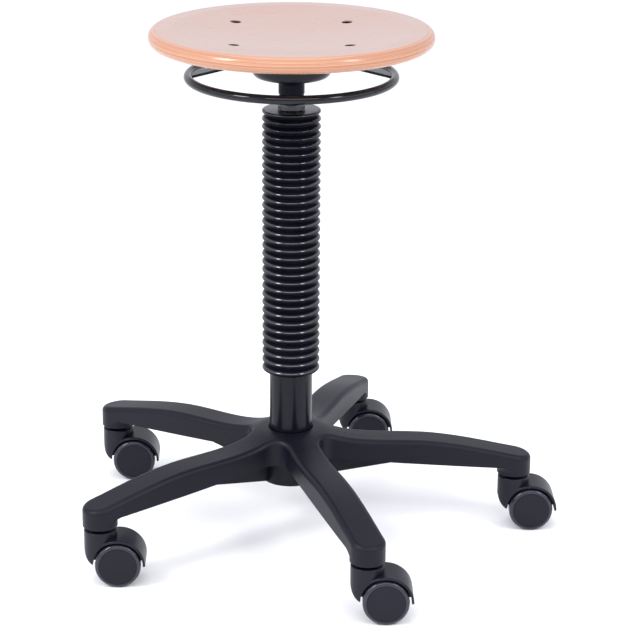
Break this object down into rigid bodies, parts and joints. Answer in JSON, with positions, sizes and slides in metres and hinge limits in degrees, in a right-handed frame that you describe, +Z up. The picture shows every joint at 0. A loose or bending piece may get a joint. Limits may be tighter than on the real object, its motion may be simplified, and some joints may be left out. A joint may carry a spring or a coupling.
{
  "type": "work stool",
  "caption": "Round dished plywood stool seat on a gas lift with a ribbed bellows and a ring release, on a star base with twin-wheel casters.",
  "frame": {"origin": "on the floor, on the column axis", "axes": "+Z up along the column; +X along one arm of the base, the way the casters trail"},
  "size_m": [0.5497, 0.5496, 0.6],
  "materials": {
    "plywood": "clear lacquered beech plywood",
    "base_nylon": "fine moulded grain",
    "caster_nylon": "satin moulding",
    "wheel_tread": "soft grey tread",
    "black_steel": "semi-gloss black coating",
    "bellows_rubber": "smooth black",
    "soft_rubber": "plain",
    "bush_plastic": "plain",
    "bright_steel": "bright",
    "screw_steel": "black oxide",
    "brass": "turned"
  },
  "bodies": {
    "base": {"star_base": "base_nylon", "caster_stems": "screw_steel", "stem_grip_rings": "bright_steel", "stand_tube": "black_steel", "tube_floor": "bright_steel", "guide_bush": "bush_plastic", "lower_thrust_washer": "bright_steel"},
    "bearing_cage": {"thrust_cage": "brass", "thrust_balls": "bright_steel"},
    "gas_rod": {"piston_rod": "bright_steel", "piston": "brass", "upper_thrust_washer": "bright_steel", "rubber_buffer": "soft_rubber", "rod_clip": "bright_steel", "bellows": "bellows_rubber"},
    "seat": {"seat_board": "plywood", "seat_screws": "screw_steel", "seat_nuts": "bright_steel", "seat_plate": "black_steel", "seat_bowl": "black_steel", "seat_socket": "black_steel", "gas_cylinder": "black_steel", "valve_body": "brass", "rod_guide": "bush_plastic", "rod_seal": "soft_rubber"},
    "release": {"release_ring": "black_steel", "release_strips": "black_steel", "release_plate": "black_steel"},
    "valve": {"valve_pin": "bright_steel"},
    "caster_1": {"caster_1_hood": "caster_nylon", "caster_1_axle": "bright_steel"},
    "caster_1_left": {"caster_1_left_wheel": "caster_nylon", "caster_1_left_tread": "wheel_tread"},
    "caster_1_right": {"caster_1_right_wheel": "caster_nylon", "caster_1_right_tread": "wheel_tread"},
    "caster_2": {"caster_2_hood": "caster_nylon", "caster_2_axle": "bright_steel"},
    "caster_2_left": {"caster_2_left_wheel": "caster_nylon", "caster_2_left_tread": "wheel_tread"},
    "caster_2_right": {"caster_2_right_wheel": "caster_nylon", "caster_2_right_tread": "wheel_tread"},
    "caster_3": {"caster_3_hood": "caster_nylon", "caster_3_axle": "bright_steel"},
    "caster_3_left": {"caster_3_left_wheel": "caster_nylon", "caster_3_left_tread": "wheel_tread"},
    "caster_3_right": {"caster_3_right_wheel": "caster_nylon", "caster_3_right_tread": "wheel_tread"},
    "caster_4": {"caster_4_hood": "caster_nylon", "caster_4_axle": "bright_steel"},
    "caster_4_left": {"caster_4_left_wheel": "caster_nylon", "caster_4_left_tread": "wheel_tread"},
    "caster_4_right": {"caster_4_right_wheel": "caster_nylon", "caster_4_right_tread": "wheel_tread"},
    "caster_5": {"caster_5_hood": "caster_nylon", "caster_5_axle": "bright_steel"},
    "caster_5_left": {"caster_5_left_wheel": "caster_nylon", "caster_5_left_tread": "wheel_tread"},
    "caster_5_right": {"caster_5_right_wheel": "caster_nylon", "caster_5_right_tread": "wheel_tread"}
  },
  "joints": [
    {"name": "seat_swivel", "type": "hinge", "parent": "base", "child": "gas_rod", "pos_m": [0, 0, 0.07], "axis": [0, 0, 1], "continuous": true},
    {"name": "bearing_turn", "type": "hinge", "parent": "base", "child": "bearing_cage", "pos_m": [0, 0, 0.0743], "axis": [0, 0, 1], "continuous": true},
    {"name": "seat_lift", "type": "slide", "parent": "gas_rod", "child": "seat", "axis": [0, 0, 1], "range_m": [-0.18, 0], "deforming": ["bellows"]},
    {"name": "ring_tilt", "type": "hinge", "parent": "seat", "child": "release", "pos_m": [0, -0.022, 0.5715], "axis": [-1, 0, 0], "range_deg": [0, 8], "stiffness_Nm_per_rad": 4, "springref_deg": -14.32},
    {"name": "valve_press", "type": "slide", "parent": "seat", "child": "valve", "axis": [0, 0, -1], "range_m": [0, 0.0033]},
    {"name": "caster_1_swivel", "type": "hinge", "parent": "base", "child": "caster_1", "pos_m": [0.265, 0, 0.06], "axis": [0, 0, 1], "continuous": true},
    {"name": "caster_1_left_roll", "type": "hinge", "parent": "caster_1", "child": "caster_1_left", "pos_m": [0.2851, 0, 0.0258], "axis": [0, 1, 0], "continuous": true},
    {"name": "caster_1_right_roll", "type": "hinge", "parent": "caster_1", "child": "caster_1_right", "pos_m": [0.2851, 0, 0.0258], "axis": [0, 1, 0], "continuous": true},
    {"name": "caster_2_swivel", "type": "hinge", "parent": "base", "child": "caster_2", "pos_m": [0.08189, 0.25203, 0.06], "axis": [0, 0, 1], "continuous": true},
    {"name": "caster_2_left_roll", "type": "hinge", "parent": "caster_2", "child": "caster_2_left", "pos_m": [0.10199, 0.25203, 0.0258], "axis": [0, 1, 0], "continuous": true},
    {"name": "caster_2_right_roll", "type": "hinge", "parent": "caster_2", "child": "caster_2_right", "pos_m": [0.10199, 0.25203, 0.0258], "axis": [0, 1, 0], "continuous": true},
    {"name": "caster_3_swivel", "type": "hinge", "parent": "base", "child": "caster_3", "pos_m": [-0.21439, 0.15576, 0.06], "axis": [0, 0, 1], "continuous": true},
    {"name": "caster_3_left_roll", "type": "hinge", "parent": "caster_3", "child": "caster_3_left", "pos_m": [-0.19429, 0.15576, 0.0258], "axis": [0, 1, 0], "continuous": true},
    {"name": "caster_3_right_roll", "type": "hinge", "parent": "caster_3", "child": "caster_3_right", "pos_m": [-0.19429, 0.15576, 0.0258], "axis": [0, 1, 0], "continuous": true},
    {"name": "caster_4_swivel", "type": "hinge", "parent": "base", "child": "caster_4", "pos_m": [-0.21439, -0.15576, 0.06], "axis": [0, 0, 1], "continuous": true},
    {"name": "caster_4_left_roll", "type": "hinge", "parent": "caster_4", "child": "caster_4_left", "pos_m": [-0.19429, -0.15576, 0.0258], "axis": [0, 1, 0], "continuous": true},
    {"name": "caster_4_right_roll", "type": "hinge", "parent": "caster_4", "child": "caster_4_right", "pos_m": [-0.19429, -0.15576, 0.0258], "axis": [0, 1, 0], "continuous": true},
    {"name": "caster_5_swivel", "type": "hinge", "parent": "base", "child": "caster_5", "pos_m": [0.08189, -0.25203, 0.06], "axis": [0, 0, 1], "continuous": true},
    {"name": "caster_5_left_roll", "type": "hinge", "parent": "caster_5", "child": "caster_5_left", "pos_m": [0.10199, -0.25203, 0.0258], "axis": [0, 1, 0], "continuous": true},
    {"name": "caster_5_right_roll", "type": "hinge", "parent": "caster_5", "child": "caster_5_right", "pos_m": [0.10199, -0.25203, 0.0258], "axis": [0, 1, 0], "continuous": true}
  ],
  "couplings": [
    {"joint": "bearing_turn", "follows": "seat_swivel", "ratio": 0.5},
    {"joint": "valve_press", "follows": "ring_tilt", "m_per_rad": 0.0225}
  ]
}
